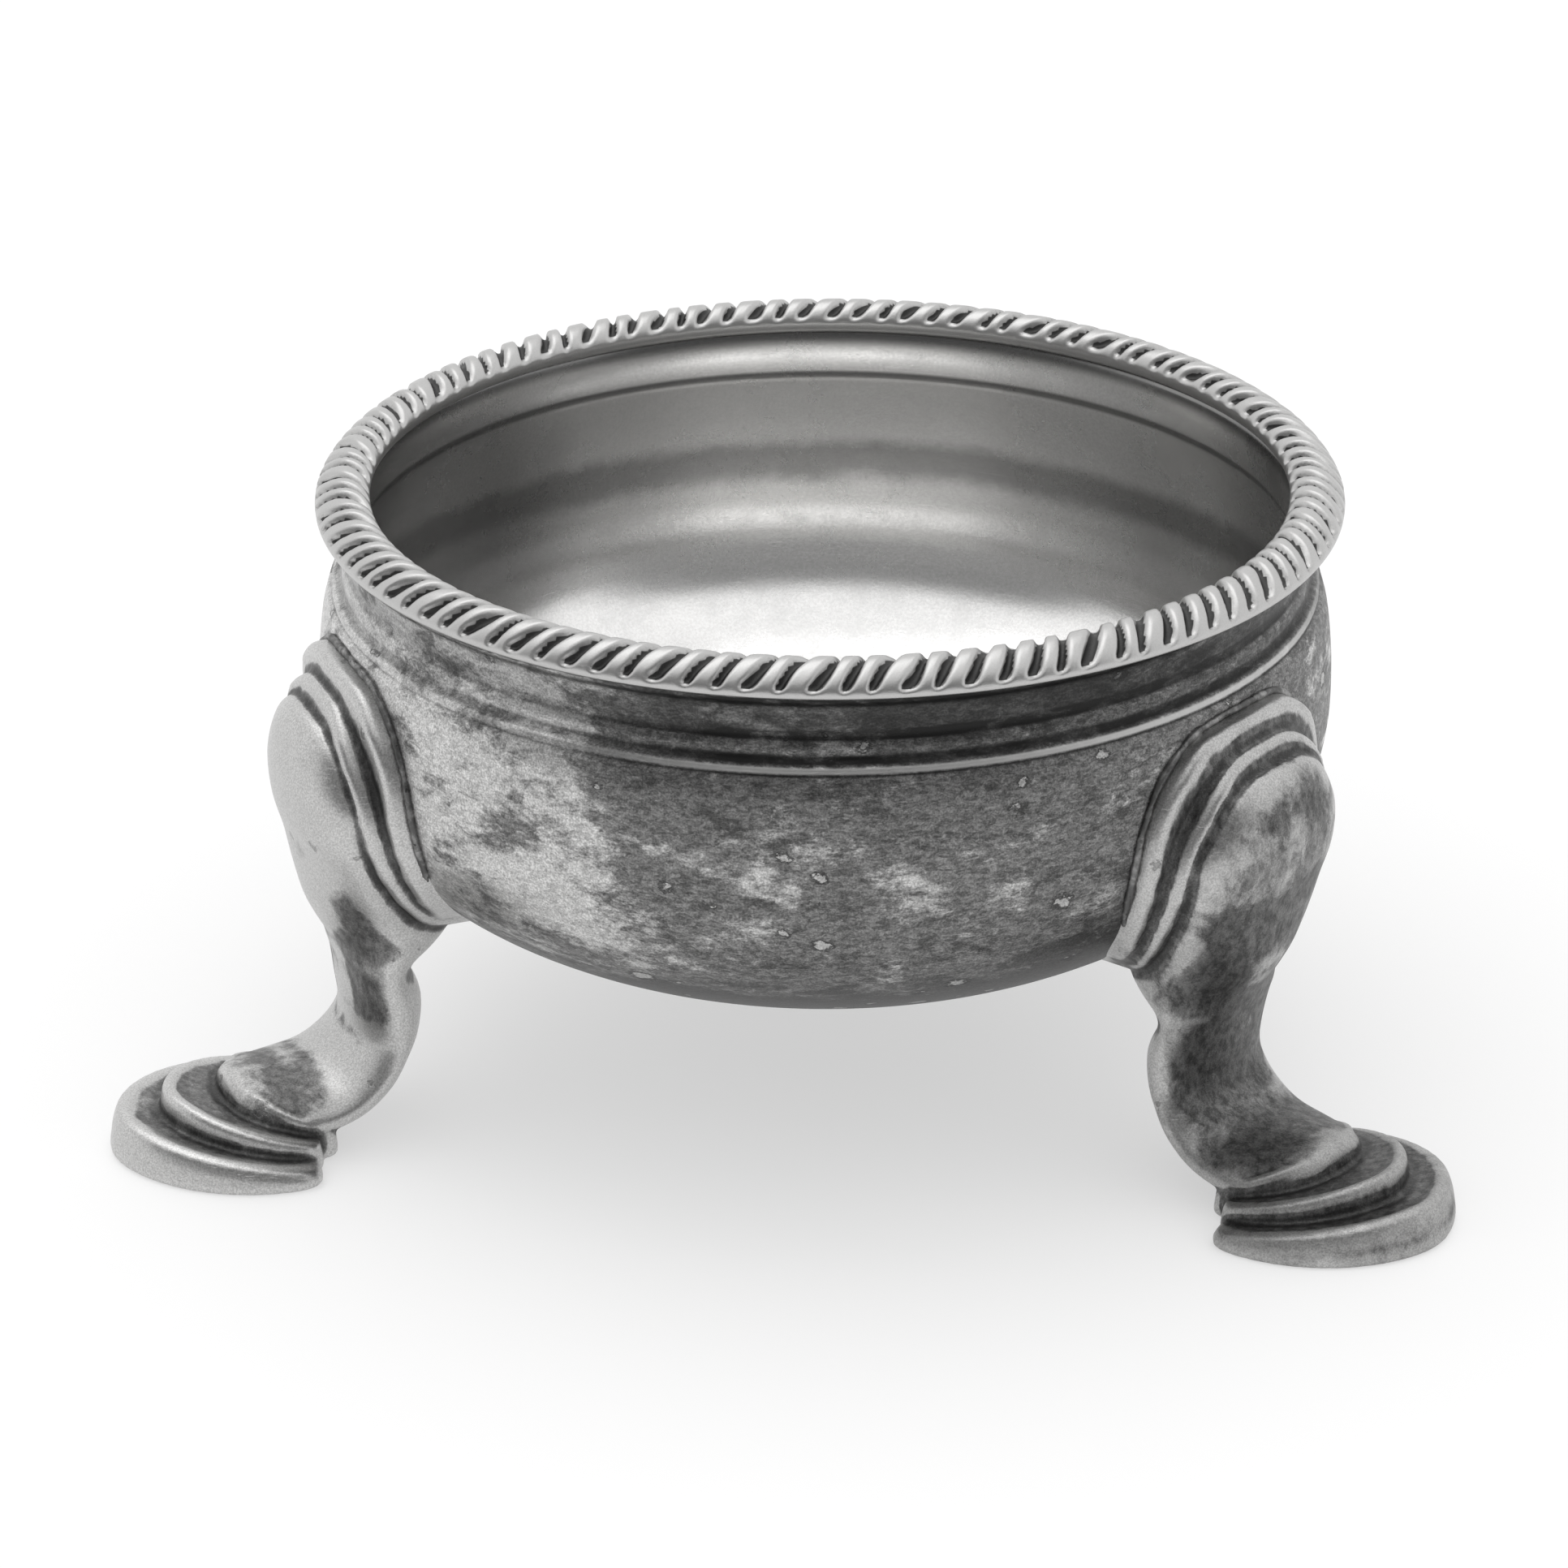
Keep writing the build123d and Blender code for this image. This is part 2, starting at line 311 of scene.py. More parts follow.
def lathe_tree():
    sizes = {"Steps round": "Int", "Steps along": "Int"}
    sizes.update({"Outside": "Material", "Inside": "Material", "Inside from": "Float"})
    tree, given, made = start_tree("turn_outline", sizes)
    mesh, around, along, outline, _ = outline_grid(tree, given)
    angle = around * (2 * math.pi)
    radius, _, height = outline
    turned = combined(radius * sums("COSINE", angle), radius * sums("SINE", angle), height)
    shell = real_with(placed(mesh, turned), given["Outside"])
    inside = sums("GREATER_THAN", along, given["Inside from"])
    inputs = {"Geometry": shell, "Selection": inside, "Material": given["Inside"]}
    feed(made, from_node(tree, "GeometryNodeSetMaterial", inputs))
    return tree


turn_outline = lathe_tree()
print("lathe tree has", len(turn_outline.nodes), "nodes")

# %% [markdown]
# ## The bowl
# The real bowl is one sheet of silver, hammered up and then turned true. Its outline reads, from
# the top: an upright lip, a narrow neck with a fine moulding, a shoulder with a thread cut below
# it, a full belly and a flat underside. The inner face is the same outline, one sheet further in.
# Radii and heights are in millimetres; the heights count down from the seat of the border.

# %% Bowl
neck_and_shoulder = [
    (31.50, 0.00), (31.50, -0.55), (31.38, -0.75), (30.80, -0.98), (30.52, -1.35), (30.42, -2.10),
    (30.42, -2.75), (30.33, -3.12), (30.35, -3.30), (30.56, -3.56), (30.66, -3.95), (30.70, -4.30),
    (30.66, -4.52), (30.76, -4.68), (31.10, -4.86), (31.30, -5.02), (31.36, -5.18), (31.28, -5.32),
    (31.32, -5.44), (31.56, -5.60),
]
belly = rounded(
    [(31.6, -5.75), (31.96, -7.15), (32.24, -9.75), (32.3, -12.0), (32.2, -14.0), (31.68, -16.4),
     (30.2, -19.4), (27.0, -22.5), (22.2, -25.3), (16.8, -27.15), (10.0, -28.4), (0.0, -28.75)]
)
inner_face = rounded(
    [(0.0, -27.9), (10.0, -27.55), (16.4, -26.3), (21.6, -24.5), (26.2, -21.85), (29.3, -18.9),
     (30.75, -16.1), (31.3, -13.9), (31.4, -12.0), (31.3, -9.6), (30.95, -7.1), (30.5, -5.2),
     (30.12, -4.0), (29.92, -3.5), (29.72, -3.2), (29.62, -2.6), (29.6, -1.6), (29.72, -0.5),
     (29.9, 0.0)]
)
bowl_outline = np.vstack([belly[::-1], neck_and_shoulder[::-1], [(30.6, 0.0)], inner_face[::-1]])
bowl_outline[:, 1] += border_seat

finishes = ("tarnished_silver", "well_silver", "border_silver", "cast_silver", "silver_solder")
tarnished_silver, well_silver, border_silver, cast_silver, silver_solder = [
    bpy.data.materials.new(finish) for finish in finishes
]
lip = len(belly) + len(neck_and_shoulder)
bowl = grow(
    line_object("raised_bowl", [tuple(point) for point in bowl_outline]),
    turn_outline,
    "raised_bowl",
    {
        "Steps round": 241,
        "Steps along": 301,
        "Outside": tarnished_silver,
        "Inside": well_silver,
        "Inside from": float(shares(bowl_outline)[0][lip]),
    },
)

# The real bowl sits a little to the left of its border
bowl_set_over = np.array([-0.28, -0.04, 0.0])
bowl.data.transform(Matrix.Translation(Vector(bowl_set_over * MM)))

# %% [markdown]
# ## The gadrooned border
# The border is a half-round wire whose upper side was struck into leaning lobes. Lobes could be
# made one by one and set round a circle, but neighbours on the real wire run into each other, so
# the tree below turns the wire's outline like the bowl and then presses narrow slots into it. How
# deep a point goes depends on its distance from the middle line of the nearest slot. The slots
# start with a round nose outside and run out over the inner edge. A noise makes their spacing a
# little uneven, as hand work is.

# %% Border
border_outline = rounded(
    [(29.35, 0.0), (32.15, 0.0), (32.42, 0.06), (32.49, 0.28), (32.45, 0.56), (32.22, 0.90),
     (31.85, 1.26), (31.35, 1.60), (30.85, 1.80), (30.45, 1.85), (30.0, 1.76), (29.5, 1.48),
     (29.15, 1.12), (29.02, 0.82), (29.06, 0.5), (29.2, 0.2), (29.35, 0.0)],
    steps=5,
)
filed_under = 0.03
border_outline[:, 1] = np.clip(border_outline[:, 1] - filed_under, 0, None) + border_seat
border_share, border_length = shares(border_outline)


def border_share_near(radius, height):
    """How far along the outline its point nearest to a place lies."""
    away = abs(border_outline - (radius, border_seat + height)).sum(1)
    return float(border_share[np.argmin(away)])


groove_outer = border_share_near(32.47, 0.42)
groove_inner = border_share_near(29.02, 0.76)
groove_run = float((groove_inner - groove_outer) * border_length)
print("a groove runs", round(groove_run, 2), "mm over the border")
gadroon_sizes = {
    "Lobes": 107.0,
    "Lean": 1.28,
    "Pitch": 1.60 * MM,
    "Groove width": 0.47 * MM,
    "Groove length": groove_run * MM,
    "Groove depth": 0.48 * MM,
    "Lobe swell": 0.06 * MM,
    "Outer end": groove_outer,
    "Inner end": groove_inner,
    "Unevenness": 0.9,
    "Seed": 7.0,
}


def border_tree():
    sizes = {"Steps round": "Int", "Steps along": "Int", "Silver": "Material"}
    sizes.update({size: "Float" for size in gadroon_sizes})
    tree, given, made = start_tree("press_gadroons", sizes)
    mesh, around, along, outline, run = outline_grid(tree, given)

    # Where the point lies across the grooves: 0 at their outer end, 1 at their inner end
    across = (along - given["Outer end"]) / (given["Inner end"] - given["Outer end"])
    angle = around * (2 * math.pi)
    cosine, sine = sums("COSINE", angle), sums("SINE", angle)
    ring = {"Vector": combined(cosine, sine, given["Seed"]), "Scale": 11.0, "Detail": 1.0}
    wandered = (from_node(tree, "ShaderNodeTexNoise", ring) - 0.5) * given["Unevenness"]
    phase = (around * given["Lobes"] - across * given["Lean"]) + wandered
    off_middle = abs(sums("FRACT", phase) - 0.5) * 2.0

    # Distance from the middle line of the nearest groove, which has a round nose outside
    width = given["Groove width"]
    beside = (1.0 - off_middle) * (given["Pitch"] * 0.5)
    ahead = sums("MAXIMUM", width - across * given["Groove length"], 0.0)
    apart = sums("SQRT", beside * beside + ahead * ahead)

    # Grooves sink and lobes swell; both fade at the inner edge, the swell also at the outer one
    pressed = ramp(across, 1.0, 0.8)
    sink = (ramp(apart, width, width * 0.2) * pressed) * given["Groove depth"]
    dome = (1.0 - off_middle * off_middle) * pressed
    lift = (dome * ramp(across, 0.0, 0.2)) * given["Lobe swell"] - sink
    radius = outline[0] + run[2] * lift
    turned = combined(radius * cosine, radius * sine, outline[2] - run[0] * lift)
    feed(made, real_with(placed(mesh, turned), given["Silver"]))
    return tree


border = grow(
    line_object("border_line", [tuple(point) for point in border_outline]),
    border_tree(),
    "struck_border",
    {"Steps round": 1285, "Steps along": 45, "Silver": border_silver, **gadroon_sizes},
)

# %% [markdown]
# ## The legs
# Each leg was cast in a mould and soldered on: two stepped plates against the belly, a shank that
# bends forward into the foot, and a hoof in three sloping layers. Subdivision surfaces would need
# a careful cage here. Instead every part of the casting is a simple closed skin of its own, all
# are joined, and a voxel remesh melts them into one skin with soft inner corners, as wax has.
# The leg is made along +X in millimetres, and turned into its three places at the end.

# %% Skins


def skin(rings):
    """A closed mesh through rings of equally many points, with a point cap at each end."""
    points = [np.asarray(ring, float) for ring in rings]
    count = len(points[0])
    vertices = np.vstack(points + [points[0].mean(0)[None], points[-1].mean(0)[None]])
    faces = []
    for row in range(len(points) - 1):
        for column in range(count):
            beside = (column + 1) % count
            faces.append(
                (row * count + column, row * count + beside,
                 (row + 1) * count + beside, (row + 1) * count + column)
            )
    low, high, top = len(vertices) - 2, len(vertices) - 1, (len(points) - 1) * count
    for column in range(count):
        beside = (column + 1) % count
        faces.append((low, beside, column))
        faces.append((high, top + column, top + beside))
    return vertices, faces


def shank_ring(height, distance, half_depth, half_width, tilt, flare, heel):
    """An oval across the leg's middle plane; flare widens its back half, heel deepens it."""
    turn = np.linspace(0, 2 * np.pi, 56, endpoint=False)
    depth = (half_depth + np.where(np.cos(turn) < 0, heel, 0.0)) * np.cos(turn)
    lean = math.radians(tilt)
    width = half_width * np.sin(turn) * (1 - flare * np.cos(turn))
    return np.stack(
        [distance + depth * math.cos(lean), width, height + depth * math.sin(lean)], axis=1
    )


# Height, distance from the bowl's axis, half depth, half width, tilt, flare, heel
shank_ovals = np.array(
    [
        (28.9, 34.6, 0.30, 0.9, 0, 0, 0),
        (28.6, 34.4, 1.05, 2.9, 0, 0, 0),
        (27.6, 34.1, 1.95, 4.9, 0, 0, 0),
        (26.0, 33.9, 2.6, 6.2, 0, 0, 0),
        (24.2, 33.8, 2.85, 7.0, 0, 0, 0),
        (22.0, 33.6, 2.85, 7.1, 0, 0, 0),
        (20.0, 32.9, 3.0, 7.0, 0, 0, 0),
        (18.0, 32.1, 3.45, 6.6, 0, 0, 0),
        (16.0, 31.1, 4.0, 6.0, 0, 0, 0.3),
        (14.6, 30.5, 3.95, 5.7, 0, 0, 0.75),
        (13.4, 30.6, 3.15, 5.5, 0, 0, 0.75),
        (12.3, 31.0, 2.35, 5.4, 0, 0, 0.25),
        (11.2, 30.9, 2.1, 5.3, 0, 0, 0),
        (9.4, 30.4, 2.35, 5.3, 0, 0, 0),
        (7.5, 30.4, 2.1, 5.3, 2, 0.02, 0),
        (6.1, 30.9, 1.8, 5.4, 10, 0.05, 0),
        (4.6, 32.0, 1.8, 5.5, 31, 0.1, 0),
        (3.35, 33.9, 1.9, 5.5, 54, 0.16, 0),
        (2.8, 36.5, 2.0, 5.4, 74, 0.18, 0),
        (2.7, 38.9, 2.05, 4.6, 82, 0.15, 0),
        (2.9, 40.3, 1.6, 3.0, 86, 0.1, 0),
        (2.95, 40.9, 0.6, 1.1, 90, 0, 0),
    ]
)
shank = skin([shank_ring(*oval) for oval in rounded(shank_ovals, 4)])

# %% [markdown]
# ### Hoof layers
# Seen from above each layer of the hoof is an oval cut off straight at the back. Its upper edge
# lies in a plane that falls towards the heel, and each layer covers the back of the one below.

# %% Hoof


def hoof_outline(widest, front, back, half_width):
    """An oval, narrower towards its front, cut straight at the back, with softened corners."""
    reach = front - widest
    end = math.acos((back - widest) / reach)
    turn = np.linspace(-end, end, 61)
    narrowing = np.where(np.cos(turn) > 0, 1.15, 1.0)
    breadth = half_width * np.sign(turn) * abs(np.sin(turn)) ** narrowing
    oval = np.stack([widest + reach * np.cos(turn), breadth], axis=1)
    straight = np.linspace(oval[-1], oval[0], 17)[1:-1]
    outline = np.vstack([oval, straight])
    for _ in range(6):
        outline = (np.roll(outline, 1, 0) + 2 * outline + np.roll(outline, -1, 0)) / 4
    return outline


def hoof_layer(widest, front, back, half_width, toe_height, slope, wall_lean, foot, edge=0.38):
    """One layer: foot is the height of its underside, slope the fall of its upper edge."""
    outline = hoof_outline(widest, front, back, half_width)
    middle = np.array([back + 0.42 * (front - back), 0.0])
    inward = middle - outline
    inward /= np.linalg.norm(inward, axis=1)[:, None]
    rim = toe_height - (front - outline[:, 0]) * math.tan(math.radians(slope))

    def ring(inset, height, shrink=1.0):
        flat = outline + inward * np.broadcast_to(inset, len(outline))[:, None]
        flat = middle + (flat - middle) * shrink
        return np.column_stack([flat, np.broadcast_to(height, len(outline))])

    lean = math.tan(math.radians(wall_lean))
    tall = rim - foot
    rings = [
        ring(0.30, foot),
        ring(0.06, foot + 0.18),
        ring(0.0, foot + 0.45),
        ring(0.55 * tall * lean, foot + 0.6 * tall),
        ring(tall * lean, rim - edge * 0.8),
        ring(tall * lean + edge * 0.25, rim - edge * 0.25),
        ring(tall * lean + edge, rim),
    ]
    for shrink in (0.86, 0.66, 0.4, 0.15):
        flat = middle + (outline + inward * (tall * lean + edge)[:, None] - middle) * shrink
        plane = toe_height - (front - flat[:, 0]) * math.tan(math.radians(slope))
        rings.append(np.column_stack([flat, plane - 0.12 * (1 - shrink)]))
    return skin(rings)


sole = hoof_layer(38.0, 48.2, 36.45, 8.9, 2.95, 8.8, 7.0, 0.0, edge=0.7)
step = hoof_layer(37.3, 45.1, 35.95, 7.1, 4.1, 13.5, 6.0, 0.1, edge=0.5)
coronet = hoof_layer(36.1, 41.0, 34.7, 5.8, 4.6, 19.5, 6.0, 0.3, edge=0.45)

# %% [markdown]
# ### Plates
# The plates lie on the belly like two shields, the smaller on the larger. Their outlines are
# drawn flat, as half width by height, and wrapped round the bowl's axis.

# %% Plates
belly_heights = belly[::-1, 1] + border_seat
belly_radii = belly[::-1, 0]


def belly_radius_at(height):
    """Outer radius of the bowl at a height."""
    return np.interp(height, belly_heights, belly_radii)


def shield_plate(half_outline, face, edge=0.42, back=-0.4):
    """A plate from its outline (half width, height) and its face's radius by height."""
    right = rounded(half_outline, 8)
    left = right[::-1][1:-1] * (-1, 1)
    outline = np.vstack([right, left])
    for _ in range(2):
        outline = (np.roll(outline, 1, 0) + 2 * outline + np.roll(outline, -1, 0)) / 4
    middle = np.array([0.0, outline[:, 1].mean()])
    tangent = np.roll(outline, -1, 0) - np.roll(outline, 1, 0)
    inward = np.column_stack([tangent[:, 1], -tangent[:, 0]])
    inward /= np.linalg.norm(inward, axis=1)[:, None] + 1e-9
    inward *= np.sign(((middle - outline) * inward).sum(1))[:, None]
    heights, radii = np.array(face).T

    def ring(inset, lift, shrink=1.0, behind=False):
        flat = middle + (outline + inward * inset - middle) * shrink
        if behind:
            radius = belly_radius_at(flat[:, 1]) + back
        else:
            radius = np.interp(flat[:, 1], heights, radii) + lift
        return np.column_stack(
            [np.sqrt(np.maximum(radius**2 - flat[:, 0] ** 2, 1)), flat[:, 0], flat[:, 1]]
        )

    rings = [ring(0, 0, shrink, True) for shrink in (0.15, 0.5, 0.8, 1)]
    rings += [ring(0, -edge), ring(edge * 0.28, -edge * 0.28), ring(edge, 0)]
    for lift, shrink in ((0, 0.85), (0.1, 0.6), (0.15, 0.3), (0.15, 0.1)):
        rings.append(ring(edge, lift, shrink))
    return skin(rings)


outer_plate = shield_plate(
    [(0, 31.7), (2.6, 31.6), (4.7, 31.2), (7.0, 29.5), (8.5, 26.8), (9.1, 23.5), (8.95, 20.7),
     (8.3, 18.4), (7.2, 16.8), (5.6, 15.6), (3.4, 14.8), (0, 14.6)],
    [(12, 23.0), (14, 26.6), (16, 29.2), (18, 31.1), (20, 32.3), (22, 33.0), (24, 33.35),
     (27, 33.4), (29.5, 33.5), (32, 33.0)],
)
inner_plate = shield_plate(
    [(0, 30.25), (2.2, 30.1), (4.0, 29.4), (5.7, 27.9), (7.3, 25.4), (7.95, 22.8), (7.95, 20.4),
     (7.4, 18.0), (6.4, 16.2), (5.0, 14.9), (3.0, 14.2), (0, 14.0)],
    [(12, 24.6), (14, 28.0), (16, 30.4), (18, 32.15), (20, 33.4), (22, 34.15), (24, 34.5),
     (27, 34.7), (28.5, 34.6), (30.5, 33.8)],
)

# %% [markdown]
# ### Melting the casting together
# The Remesh modifier in voxel mode builds one even skin round everything. A few rounds of
# smoothing then take the voxel steps out; each round first shrinks and then swells the skin, so
# the leg keeps its size.

# %% Casting
voxel = 0.17
smoothing_rounds = 7
shrinking, swelling = 0.5, 0.52


def neighbour_means(points, edges):
    """The mean of every vertex's neighbours."""
    total = np.zeros_like(points)
    for axis in range(points.shape[1]):
        total[:, axis] = np.bincount(
            edges[:, 0], points[edges[:, 1], axis], len(points)
        ) + np.bincount(edges[:, 1], points[edges[:, 0], axis], len(points))
    count = np.bincount(edges.ravel(), minlength=len(points))
    return total / np.maximum(count, 1)[:, None]


def read_mesh(mesh):
    points = np.empty(len(mesh.vertices) * 3)
    mesh.vertices.foreach_get("co", points)
    edges = np.empty(len(mesh.edges) * 2, dtype=np.int64)
    mesh.edges.foreach_get("vertices", edges)
    return points.reshape(-1, 3), edges.reshape(-1, 2)


def melt(parts, name, size, rounds):
    """Joins closed skins, remeshes them to one and smooths the result."""
    joined = bpy.data.meshes.new(name)
    vertices, faces = [], []
    for part_vertices, part_faces in parts:
        shift = len(vertices)
        vertices += [tuple(point) for point in part_vertices]
        faces += [tuple(shift + index for index in face) for face in part_faces]
    joined.from_pydata(vertices, [], faces)
    piece = in_scene(name, joined)
    face_out(piece)
    remesh = piece.modifiers.new("melt", "REMESH")
    remesh.mode = "VOXEL"
    remesh.voxel_size = size
    remesh.adaptivity = 0.0
    mesh = mesh_of(piece)
    points, edges = read_mesh(mesh)
    for _ in range(rounds):
        points += shrinking * (neighbour_means(points, edges) - points)
        points -= swelling * (neighbour_means(points, edges) - points)
    mesh.vertices.foreach_set("co", points.ravel())
    print(name, "melted to", len(mesh.polygons), "faces")
    return mesh


leg_parts = [shank, sole, step, coronet, outer_plate, inner_plate]
casting = melt(leg_parts, "leg_casting", voxel, smoothing_rounds)
points, edges = read_mesh(casting)

# The back lies in the belly's skin, and the sole is filed flat
top_of_foot, sunk_in_belly = 12, 0.3
around_axis = np.hypot(points[:, 0], points[:, 1])
behind = belly_radius_at(points[:, 2]) - sunk_in_belly
least = np.where(points[:, 2] > top_of_foot, behind, 0)
push = np.maximum(least / around_axis, 1)
points[:, 0] *= push
points[:, 1] *= push
points[:, 2] = np.maximum(points[:, 2], 0.0)
casting.vertices.foreach_set("co", points.ravel())
print("leg box, mm:", points.min(0).round(2), points.max(0).round(2))

# %% [markdown]
# ### Hollows and corners
# Old silver keeps tarnish where a polishing cloth never reaches. The materials also use the same
# measure for painted shade in hollows and a painted highlight on corners. The amount can be
# measured on the mesh: a vertex that lies below the mean of its neighbourhood is in a hollow, and
# one above it is on a corner. The result is stored as an attribute, so a material can read it with
# an Attribute node at no cost, in Cycles and in Eevee.

# %% Hollows


def store_hollows(mesh, unit, reaches, scales):
    """Stores the attribute hollow: 0.5 on level metal, towards 1 in hollows, 0 on corners."""
    points, edges = read_mesh(mesh)
    points = points / unit
    normals = np.empty(len(points) * 3)
    mesh.vertices.foreach_get("normal", normals)
    normals = normals.reshape(-1, 3)
    total = np.zeros(len(points))
    smooth, done = points.copy(), 0
    for reach, scale in zip(reaches, scales):
        while done < reach:
            smooth = neighbour_means(smooth, edges)
            done += 1
        total += ((smooth - points) * normals).sum(1) / scale
    for _ in range(2):
        total = 0.5 * total + 0.5 * neighbour_means(total[:, None], edges)[:, 0]
    value = np.clip(0.5 + 0.5 * np.tanh(total), 0, 1)
    layer = mesh.attributes.new("hollow", "FLOAT", "POINT")
    layer.data.foreach_set("value", value.astype(np.float32))
    print(mesh.name, "hollows from", value.min().round(2), "to", value.max().round(2))


store_hollows(casting, 1.0, (14, 60), (0.05, 0.22))

# The place of every point on the casting, the same for all three legs: reach, side and height
place = casting.attributes.new("casting_place", "FLOAT_VECTOR", "POINT")
place.data.foreach_set("vector", points.ravel().astype(np.float32))

# %% [markdown]
# ### Three legs from one casting
# The legs are copies, but they were soldered and straightened by hand, so each stands a little
# differently: the front left foot reaches further out, the front right one less.

# %% Legs
bend_top, bend_run = 17.0, 9.0
legs, leg_turns = {}, {}
for leg_name, node, turn, reach in (
    ("cast_leg_back", "leg_back", 90, 0.0),
    ("cast_leg_left", "leg_front_left", 210, 0.30),
    ("cast_leg_right", "leg_front_right", 330, -0.22),
):
    mesh = casting.copy()
    mesh.name = leg_name
    bent = points.copy()
    low = np.clip((bend_top - bent[:, 2]) / bend_run, 0, 1)
    bent[:, 0] += reach * low**2 * (3 - 2 * low)
    mesh.vertices.foreach_set("co", bent.ravel())
    mesh.transform(Matrix.Rotation(math.radians(turn), 4, "Z"))
    mesh.transform(Matrix.Translation(bowl_set_over))
    mesh.transform(Matrix.Scale(MM, 4))
    mesh.materials.clear()
    mesh.materials.append(cast_silver)
    mesh.shade_smooth()
    legs[node], leg_turns[node] = in_scene(leg_name, mesh), turn
    print(leg_name, "stands at", turn, "degrees")

# %% [markdown]
# ## Solder
# The legs and the border are held by silver solder that ran into the joints and froze in a thin,
# lumpy, pitted line. A plain bevelled curve would look like wire. This tree draws a tube along
# the joint and lets two sizes of noise push its skin in and out, so no two places are alike.

# %% Solder tree
solder_sizes = ("Thickness", "Step", "Lumps", "Lump size", "Grains", "Seed")


def solder_tree():
    sizes = {**{size: "Float" for size in solder_sizes}, "Solder": "Material"}
    tree, given, made = start_tree("run_of_solder", sizes)
    inputs = {"Curve": given["Geometry"], "Length": given["Step"]}
    path = from_node(tree, "GeometryNodeResampleCurve", inputs, mode="LENGTH")
    inputs = {"Resolution": 12, "Radius": given["Thickness"]}
    section = from_node(tree, "GeometryNodeCurvePrimitiveCircle", inputs, mode="RADIUS")
    inputs = {"Curve": path, "Profile Curve": section, "Fill Caps": True}
    tube = from_node(tree, "GeometryNodeCurveToMesh", inputs)
    here = from_node(tree, "GeometryNodeInputPosition")

    def bumps(scale, detail, height):
        inputs = {"Vector": here, "W": given["Seed"], "Scale": scale, "Detail": detail}
        waves = from_node(tree, "ShaderNodeTexNoise", inputs, noise_dimensions="4D")
        return (waves - 0.5) * height

    lump = bumps(given["Lump size"], 2.0, given["Lumps"])
    grain = bumps(given["Lump size"] * 4.0, 1.0, given["Grains"])
    inputs = {0: from_node(tree, "GeometryNodeInputNormal"), "Scale": (lump + grain) * 2.0}
    offset = from_node(tree, "ShaderNodeVectorMath", inputs, operation="SCALE")
    moved = from_node(tree, "GeometryNodeSetPosition", {"Geometry": tube, "Offset": offset})
    feed(made, real_with(moved, given["Solder"]))
    return tree


run_of_solder = solder_tree()
print("solder tree has", len(run_of_solder.nodes), "nodes")

# %% [markdown]
# ### The seam under the border and the seams round the plates
# The first joint is a circle just under the border. The other three follow the edge of the outer
# plate where it meets the belly, so their path is the plate's outline again, a little larger and
# wrapped on the belly.

# %% Solder runs


def solder_piece(name, path, closed, thickness, lumps, seed):
    start = line_object(f"{name}_path", [tuple(point) for point in path], closed)
    sizes = (thickness * MM, 0.16 * MM, lumps * MM, 650.0, 0.05 * MM, seed)
    values = {**dict(zip(solder_sizes, sizes)), "Solder": silver_solder}
    return grow(start, run_of_solder, name, values)


seam_reach, seam_drop = 31.62, 0.17
turn = np.linspace(0, 2 * np.pi, 240, endpoint=False)
border_joint = np.column_stack(
    [seam_reach * np.cos(turn), seam_reach * np.sin(turn), np.full(240, border_seat - seam_drop)]
)
border_joint += bowl_set_over
border_seam = solder_piece("solder_under_border", border_joint, True, 0.17, 0.10, 2.0)
solder = {"border_solder_seam": border_seam}

half_edge = [(7.2, 18.0), (8.85, 20.8), (9.15, 23.6), (8.55, 26.9), (7.05, 29.6), (4.7, 31.3),
             (2.6, 31.75)]
other_half = [(-across, height) for across, height in half_edge[::-1]]
plate_edge = rounded(half_edge + [(0, 31.85)] + other_half, 8)
seam_widening, seam_lift = 1.012, 0.06
plate_edge[:, 0] *= seam_widening
seam_radius = belly_radius_at(plate_edge[:, 1]) + seam_lift
seam = np.column_stack(
    [np.sqrt(seam_radius**2 - plate_edge[:, 0] ** 2), plate_edge[:, 0], plate_edge[:, 1]]
)
for (node, leg_turn), seed in zip(leg_turns.items(), (5.0, 11.0, 17.0)):
    spin = np.array(Matrix.Rotation(math.radians(leg_turn), 3, "Z"))
    name = "solder_of_" + legs[node].name.replace("cast_leg_", "") + "_leg"
    path = seam @ spin.T + bowl_set_over
    solder[f"{node}_solder"] = solder_piece(name, path, False, 0.24, 0.2, seed)

# %% [markdown]
# ## Shared surface effects
# All pieces are silver, and all have aged in the same three ways, so each way is one node group
# that every material can use: cloudy tarnish, fine scratches and grain, and pits. A group only
# gives masks and heights. The shader itself stays in the material, where it can be seen whole.

# %% Effect groups


def effect_group(name, inputs, outputs):
    """An empty shader group. An input without a value is a vector, every other a number."""
    group = bpy.data.node_groups.new(name, "ShaderNodeTree")
    for socket, value in inputs.items():
        kind = "NodeSocketVector" if value is None else "NodeSocketFloat"
        made = group.interface.new_socket(socket, in_out="INPUT", socket_type=kind)
        if value is not None:
            made.default_value = value
    for socket in outputs:
        group.interface.new_socket(socket, in_out="OUTPUT", socket_type="NodeSocketFloat")
    given = wires(group.nodes.new("NodeGroupInput").outputs)
    return group, given, group.nodes.new("NodeGroupOutput").inputs


def stretched(place, stretch):
    """Places multiplied by a stretch, so that a noise runs along one direction."""
    inputs = {0: place, 1: stretch}
    return from_node(place.tree, "ShaderNodeVectorMath", inputs, operation="MULTIPLY")


def noise(place, scale, detail=4.0, roughness=0.55, distortion=0.0):
    inputs = {"Vector": place, "Scale": scale, "Detail": detail}
    inputs.update({"Roughness": roughness, "Distortion": distortion})
    return from_node(place.tree, "ShaderNodeTexNoise", inputs)


